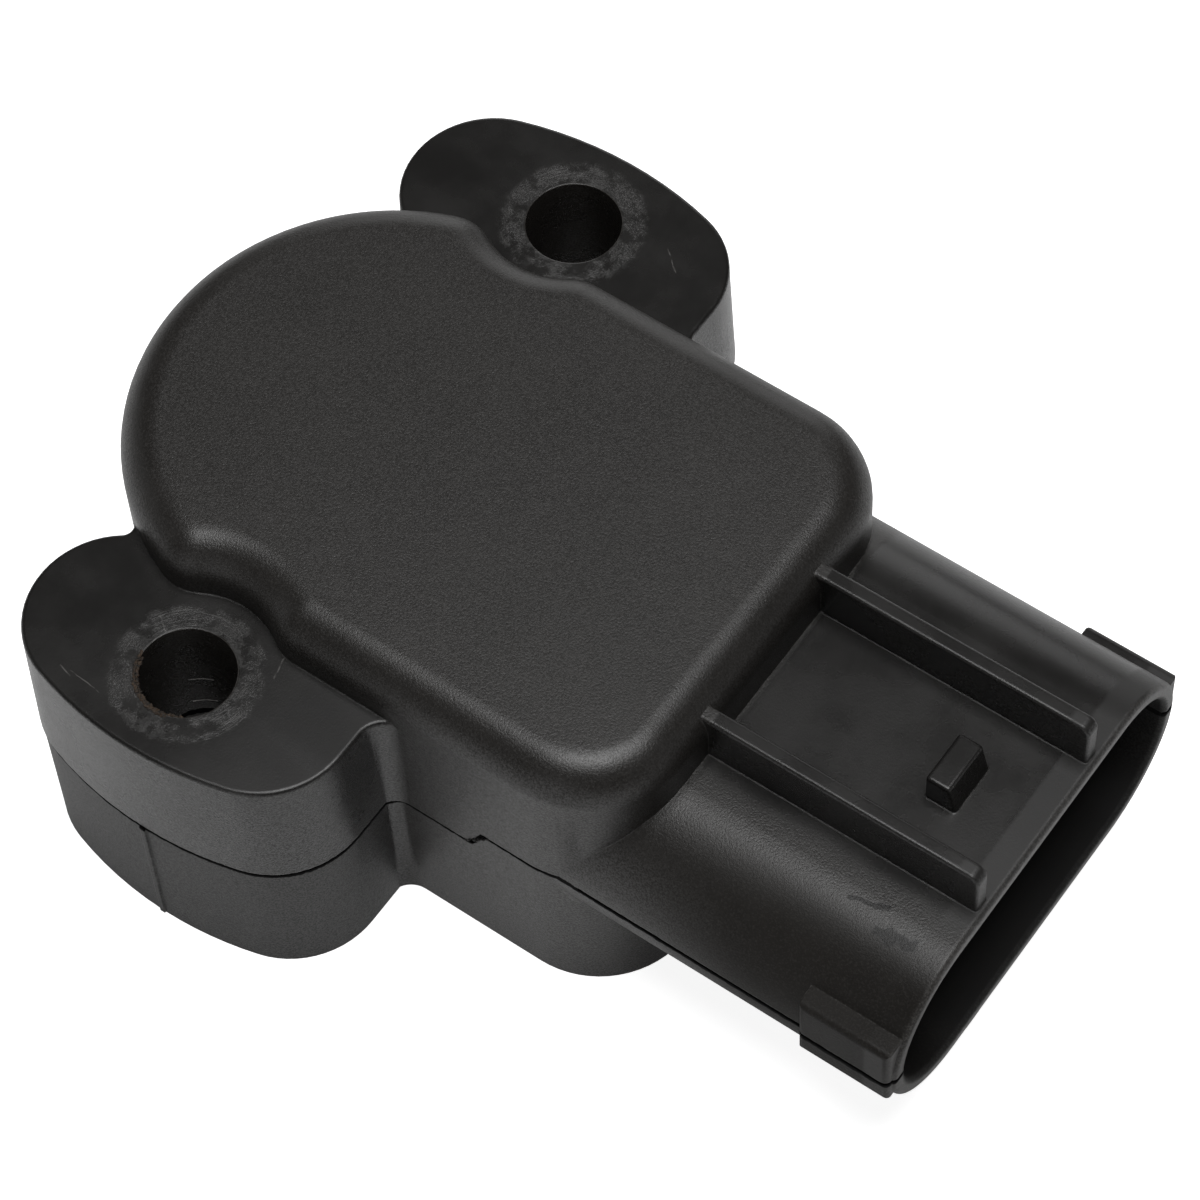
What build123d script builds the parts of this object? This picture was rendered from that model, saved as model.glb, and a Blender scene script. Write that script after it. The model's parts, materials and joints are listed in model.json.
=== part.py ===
from build123d import *
import os
from math import atan2, cos, degrees, radians, sin, sqrt

# Accelerator pedal sensor, in millimetres. The origin is on the rotor's axis, midway between the two
# fixing holes, in the plane of the mounting face. +X points out of the connector's mouth, and +Z to the
# closed top of the body.

# Fixing ears
HOLE_SPACING = 44.0  # between the fixing holes, along Y
HOLE_DIAMETER = 6.8
EAR_CREST = 6.6  # from a hole's centre out to the crown of its ear
EAR_LEFT = 13.0  # from a hole's centre to the ear's -X side
EAR_RIGHT = 12.3  # from a hole's centre to the ear's +X side
EAR_CORNER = 6.5
EAR_TAIL = 255.0  # degrees, where the -X corner's arc has turned back into the body
EAR_TOP = 23.0
EAR_EDGE = 0.3  # rounding of the top's edge
EAR_SPREAD = 0.3  # how far an ear's wall leans out between its top and the parting line
EAR_FOOT = 0.25  # and between its top and the mounting face
EAR_FILLET = 1.8  # inside corner between an ear's +X side and the body
EAR_NOOK = 0.8  # inside corner between an ear's -X side and the round end

# Body
SCALLOP_RADIUS = 6.2  # hollow in the body's wall that clears a washer over each hole
SCALLOP_BLEND = 3.5
SCALLOP_WALL = 1.9  # what the hollow leaves of the wall over the cavity
WALL = 4.0
SIDE_TUCK = 0.45  # the straight sides stand this far inside the round end's radius
BODY_END = 31.5
BODY_CORNER = 7.5
BODY_TOP = 27.1
BODY_TUCK = 0.25  # how far its foot stands inside the wall at the ears' tops
TOP_FILLET = 3.0
ROOF = 3.2

# Parting line of the mould
PARTING = 12.5  # the upper half's edge, round the ears and the round end
PARTING_RISE = 2.1  # jog of the line up to the shroud's middle
PARTING_JOG = 18.9  # where the jog starts, along X
PARTING_RUN = 1.2
PARTING_GAP = 0.3
PARTING_DEPTH = 0.25
LOWER_STEP = 0.1  # the lower half's edge stands this far inside the upper's
WITNESS_WIDTH = 0.4  # upright seam on the lower half of each ear's crown
WITNESS_PROUD = 0.12

# Connector
SHROUD_WIDTH = 34.2
SHROUD_HEIGHT = 14.7
SHROUD_MIDDLE = 14.45
SHROUD_WALL = 1.3
MOUTH = 52.75
LIP_ROUND = 0.4
BULKHEAD = 6.6  # between the cavity and the floor of the socket
RIB_SPAN = 13.1  # between the middles of the two guide ribs
RIB_WIDTH = 1.2
RIB_HEIGHT = 4.1
RIB_SETBACK = 0.5
RIB_ROUND = 0.8
RIB_EDGE = 0.25  # rounding along the top and the nose
LOCK_SETBACK = 5.5  # from the mouth back to the foot of the lock ramp
LOCK_LENGTH = 2.4
LOCK_TOP = 1.8
LOCK_HEIGHT = 2.4
LOCK_WIDTH = 4.1
LOCK_SHIFT = 0.15
LOCK_EDGE = 0.25
KEY_LENGTH = 7.0
KEY_SETBACK = 0.25
KEY_ABOVE = {-1: 4.0, 1: 2.7}  # above the shroud's middle, on the -Y side and on the +Y side
KEY_BELOW = 2.2
KEY_PROUD = 0.5
KEY_ROOT = 1.2
KEY_ROUND = 0.5
KEEL_LENGTH = 6.0  # keying rib under the mouth
KEEL_WIDTH = 1.5
KEEL_DEPTH = 1.4
KEEL_SHIFT = -6.7

# Terminals
TERMINALS = 6
TERMINAL_PITCH = 4.2
BLADE_WIDTH = 1.5
BLADE_THICKNESS = 0.8
BLADE_REACH = 10.0  # beyond the floor of the socket
BLADE_TIP = 1.2
PAD_LENGTH = 2.0
PAD_WIDTH = 2.4
PAD_SETBACK = 0.8  # between the pad and the cavity's end

# Cover and seals
COVER_RECESS = 0.5
COVER_THICKNESS = 3.0
COVER_LEDGE = 1.6
COVER_CLEARANCE = 0.1
SEAL_WIDTH = 0.8
SEAL_HEIGHT = 0.9
RING_WIRE = 1.2  # section of the shaft seal
RING_CLEARANCE = 0.1

# Rotor and what it carries
JOURNAL_RADIUS = 7.0
RUNNING_CLEARANCE = 0.05
ROTOR_RECESS = 0.7
SOCKET_RADIUS = 4.2
SOCKET_FLATS = 6.0
SOCKET_DEPTH = 10.0
WASHER_THICKNESS = 0.5
WASHER_WIDTH = 2.0
SHOULDER_CLEARANCE = 0.1
BARREL_RADIUS = 9.4
DISC_RADIUS = 12.4
DISC_THICKNESS = 1.5
DISC_TOP = 13.0
STUB_RADIUS = 3.0
STUB_LENGTH = 8.4
STUB_BOSS = 2.4
BOSS_END = 18.0
STOP_START = 130.0  # degrees, the middle of the stop lug at rest
STOP_TRAVEL = 80.0
STOP_WIDTH = 10.0
STOP_MARGIN = 1.4
STOP_LENGTH = 1.0
STOP_CLEARANCE = 0.3

# Return spring
SPRING_WIRE = 1.0
SPRING_TURNS = 3.25
SPRING_PITCH = 1.35
SPRING_CLEARANCE = 0.3  # between the coil and the rotor's barrel
SPRING_LEG = 6.0
CATCH_RADIUS = 0.9  # post on the cover that holds the lower leg
CATCH_CLEARANCE = 0.3
CATCH_REACH = 4.5  # along the leg

# Element board and wipers
BOARD_THICKNESS = 1.0
BOARD_CLEARANCE = 0.15
BOARD_LEDGE = 1.0
BOARD_HOLE = 4.0
PEG_X = 19.0
PEG_Y = 9.0
PEG_RADIUS = 1.0
PEG_HEAD = 1.7
PEG_HEAD_THICKNESS = 0.5
POST_RADIUS = 2.0
PEG_CLEARANCE = 0.05
WIPER_INNER = 5.6
WIPER_FINGERS = 4
FINGER_WIDTH = 1.1
FINGER_GAP = 0.4
WIPER_THICKNESS = 0.25
WIPER_BASE = 3.0
FINGER_RUN = 4.6
WIPER_CLEARANCE = 0.3
WIPER_ANGLES = {"wiper_primary": 40.0, "wiper_secondary": 220.0}
STUD_RADIUS = 0.7
STUD_HEIGHT = 0.9

# How close two places have to be to count as the same, and how far a cut runs past its face
NEAR = 0.01
PAST = 1.0

# Worked out from the values above
HOLE_Y = HOLE_SPACING / 2
CAVITY_RADIUS = HOLE_Y - SCALLOP_RADIUS - SCALLOP_WALL
END_RADIUS = CAVITY_RADIUS + WALL
HALF_WIDTH = END_RADIUS - SIDE_TUCK
SHROUD_TOP = SHROUD_MIDDLE + SHROUD_HEIGHT / 2
SHROUD_BOTTOM = SHROUD_MIDDLE - SHROUD_HEIGHT / 2
SHROUD_START = BODY_END - BODY_CORNER
PARTING_HIGH = PARTING + PARTING_RISE
FAR = BODY_END + HOLE_SPACING  # beyond everything, for cuts that pass right through
CAVITY_END = BODY_END - WALL
SOCKET_FLOOR = CAVITY_END + BULKHEAD
CAVITY_ROOF = BODY_TOP - ROOF
COVER_TOP = COVER_RECESS + COVER_THICKNESS
SHOULDER = COVER_TOP + WASHER_THICKNESS + SHOULDER_CLEARANCE
DISC_BOTTOM = DISC_TOP - DISC_THICKNESS
BLADE_TOP = SHROUD_MIDDLE + BLADE_THICKNESS / 2
BLADE_BOTTOM = SHROUD_MIDDLE - BLADE_THICKNESS / 2
BOARD_TOP = BLADE_TOP + BOARD_THICKNESS
SPRING_RADIUS = BARREL_RADIUS + SPRING_CLEARANCE + SPRING_WIRE / 2
SPRING_BOTTOM = SHOULDER + SPRING_WIRE


def block(x0, x1, y0, y1, z0, z1):
    """A box between two corners."""
    return Pos((x0 + x1) / 2, (y0 + y1) / 2, (z0 + z1) / 2) * Box(x1 - x0, y1 - y0, z1 - z0)


def disc(radius, z0, z1, x=0.0, y=0.0):
    """An upright cylinder between two heights."""
    return Pos(x, y, (z0 + z1) / 2) * Cylinder(radius, z1 - z0)


def prism(plan, z0, z1):
    """A plan raised from one height to another."""
    return extrude(Pos(0, 0, z0) * plan, z1 - z0)


def body_plan(inset):
    """The body's outline, with one round end, drawn in from the outer wall."""
    length = BODY_END - inset
    oblong = Pos(length / 2, 0) * Rectangle(length, 2 * (HALF_WIDTH - inset))
    far_corners = oblong.vertices().group_by(Axis.X)[-1]
    return Circle(END_RADIUS - inset) + fillet(far_corners, BODY_CORNER - inset)


def ear_plan(inset):
    """The +Y ear: a crown struck from the rotor's axis, with two round corners."""
    reach = HOLE_Y + EAR_CREST
    corner = EAR_CORNER - inset
    right_x = EAR_RIGHT - EAR_CORNER
    right_y = sqrt((reach - EAR_CORNER) ** 2 - right_x**2)
    left_x = EAR_CORNER - EAR_LEFT
    left_y = sqrt((reach - EAR_CORNER) ** 2 - left_x**2)
    right_turn = degrees(atan2(right_y, right_x))
    left_turn = degrees(atan2(left_y, left_x))
    outline = [
        CenterArc((right_x, right_y), corner, 0, right_turn),
        CenterArc((0, 0), reach - inset, right_turn, left_turn - right_turn),
        CenterArc((left_x, left_y), corner, left_turn, EAR_TAIL - left_turn),
    ]
    foot = (EAR_RIGHT - inset, 0)
    outline.append(Polyline(outline[-1] @ 1, (0, 0), foot, outline[0] @ 0))
    return make_face(outline)


def full_plan(body_inset, ear_inset):
    """The body and both ears, with their inside corners rounded."""
    ear = ear_plan(ear_inset)
    plan = body_plan(body_inset) + ear + mirror(ear, Plane.XZ)
    side = HALF_WIDTH - body_inset
    right_x = EAR_RIGHT - ear_inset
    right = [v for v in plan.vertices() if abs(v.X - right_x) < NEAR and abs(abs(v.Y) - side) < NEAR]
    plan = fillet(right, EAR_FILLET)
    round_end = END_RADIUS - body_inset
    left = [v for v in plan.vertices() if v.X < 0 and abs(sqrt(v.X**2 + v.Y**2) - round_end) < NEAR]
    return fillet(left, EAR_NOOK)


def leaning(plan, start, end, lean):
    """A plan run from one height to another, its walls leaning in by the given amount on the way."""
    run = end - start
    return extrude(Pos(0, 0, start) * plan, run, taper=degrees(atan2(lean, abs(run))))


def both_ears(inset, start, end, lean):
    """The two ears with leaning walls."""
    ear = leaning(ear_plan(inset), start, end, lean)
    return ear + mirror(ear, Plane.XZ)


def across(*corners):
    """A cut of the given outline in X and Z, right through along Y."""
    return extrude(Plane.XZ * make_face(Polyline(*corners, close=True)), FAR, both=True)


def dome_plan():
    """The body's outline above the ears, hollowed beside each hole."""
    plan = body_plan(0)
    for side in (-1, 1):
        plan -= Pos(0, side * HOLE_Y) * Circle(SCALLOP_RADIUS)
    edges = [
        v
        for v in plan.vertices()
        if min(abs(sqrt(v.X**2 + (v.Y - s * HOLE_Y) ** 2) - SCALLOP_RADIUS) for s in (-1, 1)) < NEAR
    ]
    return fillet(edges, SCALLOP_BLEND)


def dome():
    """The part of the body above the ears, rounded at the top."""
    plan = dome_plan()
    solid = prism(plan, EAR_TOP - 2 * EAR_EDGE, BODY_TOP)
    rounding = min(TOP_FILLET, BODY_TOP - EAR_TOP - NEAR)
    return fillet(solid.faces().sort_by(Axis.Z)[-1].edges(), rounding)


def moulded_halves():
    """Both halves of the body and ears, with the gap of the parting line and its jog between them."""
    upper = prism(full_plan(0, 0), PARTING, EAR_TOP) + both_ears(-EAR_SPREAD, PARTING, EAR_TOP, EAR_SPREAD)
    upper = fillet(upper.faces().sort_by(Axis.Z)[-1].outer_wire().edges(), EAR_EDGE)
    upper -= across(
        (PARTING_JOG, PARTING),
        (PARTING_JOG + PARTING_RUN, PARTING_HIGH),
        (FAR, PARTING_HIGH),
        (FAR, PARTING),
    )
    low_top = PARTING_HIGH - PARTING_GAP
    lower = prism(full_plan(BODY_TUCK, 0), 0, low_top)
    lower += leaning(body_plan(LOWER_STEP), low_top, 0, BODY_TUCK - LOWER_STEP)
    lower += both_ears(-EAR_FOOT, 0, low_top, EAR_FOOT - EAR_SPREAD + LOWER_STEP)
    lower -= across(
        (-FAR, PARTING - PARTING_GAP),
        (PARTING_JOG + PARTING_GAP, PARTING - PARTING_GAP),
        (PARTING_JOG + PARTING_GAP + PARTING_RUN, PARTING_HIGH - PARTING_GAP),
        (-FAR, PARTING_HIGH),
    )
    core = prism(full_plan(PARTING_DEPTH, PARTING_DEPTH), PARTING - PAST, PARTING_HIGH + PAST)
    solid = core + upper + lower
    crest = HOLE_Y + EAR_CREST
    for side in (-1, 1):
        ends = (side * HOLE_Y, side * (crest + EAR_FOOT + WITNESS_PROUD))
        half = WITNESS_WIDTH / 2
        solid += block(-half, half, min(ends), max(ends), 0, PARTING - PARTING_GAP)
    return solid


def stadium(inset):
    """The shroud's section, seen along X."""
    return Plane.YZ * SlotOverall(SHROUD_WIDTH - 2 * inset, SHROUD_HEIGHT - 2 * inset)


def stretch(inset, start, end):
    """The shroud's section, drawn in and run along X."""
    return extrude(Pos(start, 0, SHROUD_MIDDLE) * stadium(inset), end - start)


def shroud():
    """The connector's shroud with its guide ribs, lock ramp, keys and the parting line along its sides."""
    socket = stretch(SHROUD_WALL, SOCKET_FLOOR, MOUTH)
    tube = stretch(0, SHROUD_START, MOUTH) - socket
    tube = fillet(tube.faces().sort_by(Axis.X)[-1].edges(), LIP_ROUND)
    core = stretch(PARTING_DEPTH, SHROUD_START, MOUTH - PARTING_DEPTH)
    for side in (-1, 1):
        tube += guide_rib(side)
        tube += side_key(side, 0) - socket
        core += side_key(side, PARTING_DEPTH)
    gap_start = SHROUD_START + BODY_CORNER / 2
    gap = block(gap_start, FAR, -FAR, FAR, PARTING_HIGH - PARTING_GAP, PARTING_HIGH)
    return tube - (gap - core) + lock_ramp() + keel()


def guide_rib(side):
    """One of the two ribs along the shroud's top, with a round nose and rounded edges."""
    middle = side * RIB_SPAN / 2
    rib = block(
        SHROUD_START,
        MOUTH - RIB_SETBACK,
        middle - RIB_WIDTH / 2,
        middle + RIB_WIDTH / 2,
        SHROUD_TOP - SHROUD_WALL / 2,
        SHROUD_TOP + RIB_HEIGHT,
    )
    nose = rib.edges().filter_by(Axis.Y).group_by(Axis.Z)[-1].sort_by(Axis.X)[-1]
    rib = fillet(nose, RIB_ROUND)
    flanks = rib.faces().sort_by(Axis.Y)
    edges = flanks[0].edges() + flanks[-1].edges()
    above = [edge for edge in edges if edge.center().Z > SHROUD_TOP]
    return fillet([edge for edge in above if edge.center().X > SHROUD_START + NEAR], RIB_EDGE)


def lock_ramp():
    """The wedge that the mating plug's latch climbs over, steep towards the body."""
    foot = MOUTH - LOCK_SETBACK
    rear = foot - LOCK_LENGTH
    top = SHROUD_TOP + LOCK_HEIGHT
    root = SHROUD_TOP - SHROUD_WALL / 2
    profile = Polyline(
        (rear, root),
        (rear, top),
        (rear + LOCK_TOP, top),
        (foot, SHROUD_TOP),
        (foot, root),
        close=True,
    )
    face = Plane.XZ * make_face(profile)
    wedge = Pos(0, LOCK_SHIFT, 0) * extrude(face, LOCK_WIDTH / 2, both=True)
    return fillet([edge for edge in wedge.edges() if edge.center().Z > SHROUD_TOP + NEAR], LOCK_EDGE)


def side_key(side, inset):
    """A flat key on one side of the mouth, drawn in at its outside and ends."""
    outer = SHROUD_WIDTH / 2 + KEY_PROUD - inset
    inner = SHROUD_WIDTH / 2 - KEY_ROOT
    end = MOUTH - KEY_SETBACK
    key = block(
        end - KEY_LENGTH + inset,
        end - inset,
        min(side * inner, side * outer),
        max(side * inner, side * outer),
        SHROUD_MIDDLE - KEY_BELOW,
        SHROUD_MIDDLE + KEY_ABOVE[side],
    )
    outside = key.faces().sort_by(Axis.Y)[-1 if side > 0 else 0]
    return fillet(outside.edges(), KEY_ROUND)


def keel():
    """The keying rib under the mouth."""
    return block(
        MOUTH - KEEL_LENGTH,
        MOUTH - LIP_ROUND,
        KEEL_SHIFT - KEEL_WIDTH / 2,
        KEEL_SHIFT + KEEL_WIDTH / 2,
        SHROUD_BOTTOM - KEEL_DEPTH,
        SHROUD_BOTTOM + SHROUD_WALL / 2,
    )


def sector(inner, outer, middle, width, z0, z1):
    """A curved lug between two radii, centred on an angle and width degrees wide."""
    ring = Circle(outer) - Circle(inner)
    far = 2 * outer
    sides = [radians(middle - width / 2), radians(middle + width / 2)]
    wedge = make_face(
        Polyline((0, 0), *[(far * cos(side), far * sin(side)) for side in sides], close=True)
    )
    return prism(ring & wedge, z0, z1)


def stop_ribs():
    """Two ribs on the cavity's wall that end the rotor's travel."""
    ribs = []
    spread = STOP_WIDTH + STOP_MARGIN
    for middle in (STOP_START - spread, STOP_START + STOP_TRAVEL + spread):
        ribs.append(
            sector(
                DISC_RADIUS + STOP_CLEARANCE,
                CAVITY_RADIUS + SCALLOP_WALL / 2,
                middle,
                STOP_WIDTH,
                COVER_TOP + SEAL_HEIGHT,
                BLADE_TOP,
            )
        )
    return ribs


def housing():
    """The one-piece moulding: body, ears and connector shroud, open below for the works."""
    solid = moulded_halves() + dome() + shroud()
    solid -= prism(body_plan(WALL), 0, BLADE_TOP + BOARD_THICKNESS)
    solid -= prism(body_plan(WALL + BOARD_LEDGE), 0, CAVITY_ROOF)
    solid -= prism(body_plan(WALL - COVER_LEDGE), 0, COVER_TOP)
    seal_outside = WALL - COVER_LEDGE / 2 - SEAL_WIDTH / 2
    groove = body_plan(seal_outside) - body_plan(seal_outside + SEAL_WIDTH)
    solid -= prism(groove, COVER_TOP, COVER_TOP + SEAL_HEIGHT)
    for rib in stop_ribs():
        solid += rib
    boss = disc(STUB_RADIUS + STUB_BOSS, BOSS_END, CAVITY_ROOF + ROOF / 2)
    boss -= disc(STUB_RADIUS + RUNNING_CLEARANCE, BOSS_END, DISC_TOP + STUB_LENGTH + STOP_CLEARANCE)
    solid += boss
    for side in (-1, 1):
        solid += disc(POST_RADIUS, BOARD_TOP, CAVITY_ROOF + ROOF / 2, PEG_X, side * PEG_Y)
        solid += disc(PEG_RADIUS, BLADE_TOP, BOARD_TOP, PEG_X, side * PEG_Y)
        solid += disc(PEG_HEAD, BLADE_TOP - PEG_HEAD_THICKNESS, BLADE_TOP, PEG_X, side * PEG_Y)
        solid -= disc(HOLE_DIAMETER / 2, -PAST, BODY_TOP, 0, side * HOLE_Y)
    for y in terminal_rows():
        sides = (y - BLADE_WIDTH / 2, y + BLADE_WIDTH / 2)
        solid -= block(CAVITY_END - PAST, SOCKET_FLOOR + PAST, *sides, BLADE_BOTTOM, BLADE_TOP)
    return solid


def rear_cover():
    """The plate that closes the underside, bored for the rotor and grooved for its seal."""
    plate = prism(body_plan(WALL - COVER_LEDGE + COVER_CLEARANCE), COVER_RECESS, COVER_TOP)
    plate -= disc(JOURNAL_RADIUS + RUNNING_CLEARANCE, 0, COVER_TOP + PAST)
    middle = (COVER_RECESS + COVER_TOP) / 2
    groove_radius = JOURNAL_RADIUS + RING_CLEARANCE + RING_WIRE + RUNNING_CLEARANCE
    plate -= disc(groove_radius, middle - RING_WIRE / 2, middle + RING_WIRE / 2)
    catch_x = SPRING_RADIUS + SPRING_WIRE / 2 + CATCH_CLEARANCE + CATCH_RADIUS
    return plate + disc(CATCH_RADIUS, COVER_TOP, SPRING_BOTTOM + SPRING_WIRE, catch_x, -CATCH_REACH)


def cover_seal():
    """The rubber ring in the groove of the cover's ledge."""
    outside = WALL - COVER_LEDGE / 2 - SEAL_WIDTH / 2
    ring = body_plan(outside) - body_plan(outside + SEAL_WIDTH)
    return prism(ring, COVER_TOP, COVER_TOP + SEAL_HEIGHT)


def shaft_seal():
    """The round rubber ring about the rotor's journal."""
    middle = (COVER_RECESS + COVER_TOP) / 2
    radius = JOURNAL_RADIUS + RING_CLEARANCE + RING_WIRE / 2
    return Pos(0, 0, middle) * Torus(radius, RING_WIRE / 2)


def thrust_washer():
    """The washer between the cover and the rotor's shoulder."""
    inside = JOURNAL_RADIUS + RING_CLEARANCE
    ring = Circle(inside + WASHER_WIDTH) - Circle(inside)
    return prism(ring, COVER_TOP, COVER_TOP + WASHER_THICKNESS)


def wiper_width():
    """The wiper's size across its fingers, along the rotor's radius."""
    return WIPER_FINGERS * FINGER_WIDTH + (WIPER_FINGERS - 1) * FINGER_GAP


def wiper_stud(angle):
    """Where the stud that holds one wiper stands on the disc."""
    return Rot(0, 0, angle) * Pos(WIPER_INNER + wiper_width() / 2, 0, 0)


def rotor():
    """The turning hub, with the pedal shaft's socket below and the wipers' disc above."""
    hub = disc(JOURNAL_RADIUS, ROTOR_RECESS, SHOULDER)
    hub += disc(BARREL_RADIUS, SHOULDER, DISC_BOTTOM)
    hub += disc(DISC_RADIUS, DISC_BOTTOM, DISC_TOP)
    hub += disc(STUB_RADIUS, DISC_TOP, DISC_TOP + STUB_LENGTH)
    lug_end = CAVITY_RADIUS - STOP_CLEARANCE
    hub += sector(BARREL_RADIUS, lug_end, STOP_START, STOP_WIDTH, DISC_BOTTOM, DISC_TOP)
    for angle in WIPER_ANGLES.values():
        hub += wiper_stud(angle) * disc(STUD_RADIUS, DISC_TOP, DISC_TOP + STUD_HEIGHT)
    keyed = Circle(SOCKET_RADIUS) & Rectangle(SOCKET_FLATS, 2 * SOCKET_RADIUS)
    return hub - prism(keyed, 0, ROTOR_RECESS + SOCKET_DEPTH)


def return_spring():
    """The torsion spring round the barrel, with a straight leg at each end."""
    height = SPRING_TURNS * SPRING_PITCH
    coil = Pos(0, 0, SPRING_BOTTOM) * Helix(SPRING_PITCH, height, SPRING_RADIUS)
    first_leg = Line(coil @ 0 - SPRING_LEG * (coil % 0), coil @ 0)
    last_leg = Line(coil @ 1, coil @ 1 + SPRING_LEG * (coil % 1))
    path = Wire([first_leg, coil, last_leg])
    section = Plane(first_leg @ 0, z_dir=first_leg % 0) * Circle(SPRING_WIRE / 2)
    return sweep(section, path=path, is_frenet=True)


def element_board():
    """The board with the resistive tracks, held up against its ledge by two headed pegs."""
    plan = body_plan(WALL + BOARD_CLEARANCE) - Circle(BOARD_HOLE)
    for side in (-1, 1):
        plan -= Pos(PEG_X, side * PEG_Y) * Circle(PEG_RADIUS + PEG_CLEARANCE)
    return prism(plan, BLADE_TOP, BOARD_TOP)


def wiper(angle):
    """A sprung contact: a base on the disc and a comb of fingers rising to the board."""
    contact = BLADE_TOP - WIPER_CLEARANCE
    low = DISC_TOP
    back = -WIPER_BASE / 2
    bend = WIPER_BASE / 2
    tip = bend + FINGER_RUN
    profile = Polyline(
        (back, low),
        (bend, low),
        (tip, contact - WIPER_THICKNESS),
        (tip, contact),
        (bend, low + WIPER_THICKNESS),
        (back, low + WIPER_THICKNESS),
        close=True,
    )
    comb = extrude(Pos(WIPER_INNER, 0, 0) * (Plane.YZ * make_face(profile)), wiper_width())
    for slot in range(1, WIPER_FINGERS):
        start = WIPER_INNER + slot * FINGER_WIDTH + (slot - 1) * FINGER_GAP
        comb -= block(start, start + FINGER_GAP, bend, tip, low, contact)
    comb = Rot(0, 0, angle) * comb
    return comb - wiper_stud(angle) * disc(STUD_RADIUS + PEG_CLEARANCE, low, contact)


def terminal_rows():
    """The terminals' places across the socket."""
    return [(index - (TERMINALS - 1) / 2) * TERMINAL_PITCH for index in range(TERMINALS)]


def terminal(y):
    """One blade: a soldering pad under the board, a straight run and a pointed tip."""
    neck = CAVITY_END - PAD_SETBACK
    start = neck - PAD_LENGTH
    end = SOCKET_FLOOR + BLADE_REACH
    half = BLADE_WIDTH / 2
    outline = Polyline(
        (start, PAD_WIDTH / 2),
        (neck, PAD_WIDTH / 2),
        (neck, half),
        (end - BLADE_TIP, half),
        (end, half / 2),
        (end, -half / 2),
        (end - BLADE_TIP, -half),
        (neck, -half),
        (neck, -PAD_WIDTH / 2),
        (start, -PAD_WIDTH / 2),
        close=True,
    )
    return prism(Pos(0, y) * make_face(outline), BLADE_BOTTOM, BLADE_TOP)


PIECES = {
    "housing": housing(),
    "rear_cover": rear_cover(),
    "cover_seal": cover_seal(),
    "shaft_seal": shaft_seal(),
    "thrust_washer": thrust_washer(),
    "rotor": rotor(),
    "return_spring": return_spring(),
    "element_board": element_board(),
}
for name, angle in WIPER_ANGLES.items():
    PIECES[name] = wiper(angle)
for number, y in enumerate(terminal_rows(), start=1):
    PIECES[f"terminal_{number}"] = terminal(y)

os.makedirs("parts", exist_ok=True)
for name, piece in PIECES.items():
    export_step(piece, f"parts/{name}.step")
    print(name, len(piece.solids()), round(piece.volume, 1))
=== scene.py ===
# %% [markdown]
# # Looks of an accelerator pedal sensor
# The sensor is a black plastic moulding: a round-ended body, an ear with a screw hole on each side and a
# connector shroud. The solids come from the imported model, in metres, and this lesson only dresses them.

# %% Load the frame
import json
import math

import bmesh
import bpy
from mathutils import Matrix, Vector


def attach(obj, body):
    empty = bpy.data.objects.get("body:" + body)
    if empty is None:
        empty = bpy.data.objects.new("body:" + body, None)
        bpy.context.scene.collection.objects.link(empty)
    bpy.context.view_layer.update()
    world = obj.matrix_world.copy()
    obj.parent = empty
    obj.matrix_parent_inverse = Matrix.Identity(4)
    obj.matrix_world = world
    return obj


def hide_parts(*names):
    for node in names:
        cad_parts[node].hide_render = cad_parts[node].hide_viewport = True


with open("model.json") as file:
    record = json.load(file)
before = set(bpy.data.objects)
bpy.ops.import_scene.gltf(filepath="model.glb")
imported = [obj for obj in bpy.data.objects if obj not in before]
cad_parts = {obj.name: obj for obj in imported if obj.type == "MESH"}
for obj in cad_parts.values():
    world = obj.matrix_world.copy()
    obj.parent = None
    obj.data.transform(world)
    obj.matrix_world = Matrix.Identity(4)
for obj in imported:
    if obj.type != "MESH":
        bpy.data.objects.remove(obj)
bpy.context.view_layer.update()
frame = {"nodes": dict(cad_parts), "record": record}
MM = 0.001

# %% [markdown]
# ## Camera
# A product shot is taken from far off with a long lens, which keeps the two holes almost the same size.
# The camera's place, the point that it looks at and its small roll are real places beside the object.

# %% Camera
CAMERA_PLACE = Vector((116.05, -123.24, 277.13)) * MM
CAMERA_AIM = Vector((16.08, 1.95, 14.45)) * MM
CAMERA_ROLL = math.radians(-3.88)
LENS = 134.65
SENSOR = 36.0

scene = bpy.context.scene
scene.view_settings.view_transform = "Standard"
camera_data = bpy.data.cameras.new("camera")
camera_data.lens = LENS
camera_data.sensor_width = SENSOR
camera_data.clip_start = MM
camera = bpy.data.objects.new("camera", camera_data)
scene.collection.objects.link(camera)
view = (CAMERA_AIM - CAMERA_PLACE).to_track_quat("-Z", "Y").to_matrix().to_4x4()
camera.matrix_world = Matrix.Translation(CAMERA_PLACE) @ view @ Matrix.Rotation(CAMERA_ROLL, 4, "Z")
scene.camera = camera
print("camera", round((CAMERA_AIM - CAMERA_PLACE).length, 3), "m away")

# %% [markdown]
# ## Shader helper
# Node trees are easier to read as short calls. This helper adds a node, sets its inputs from numbers or
# from other sockets, and returns the output that is asked for.


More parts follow.
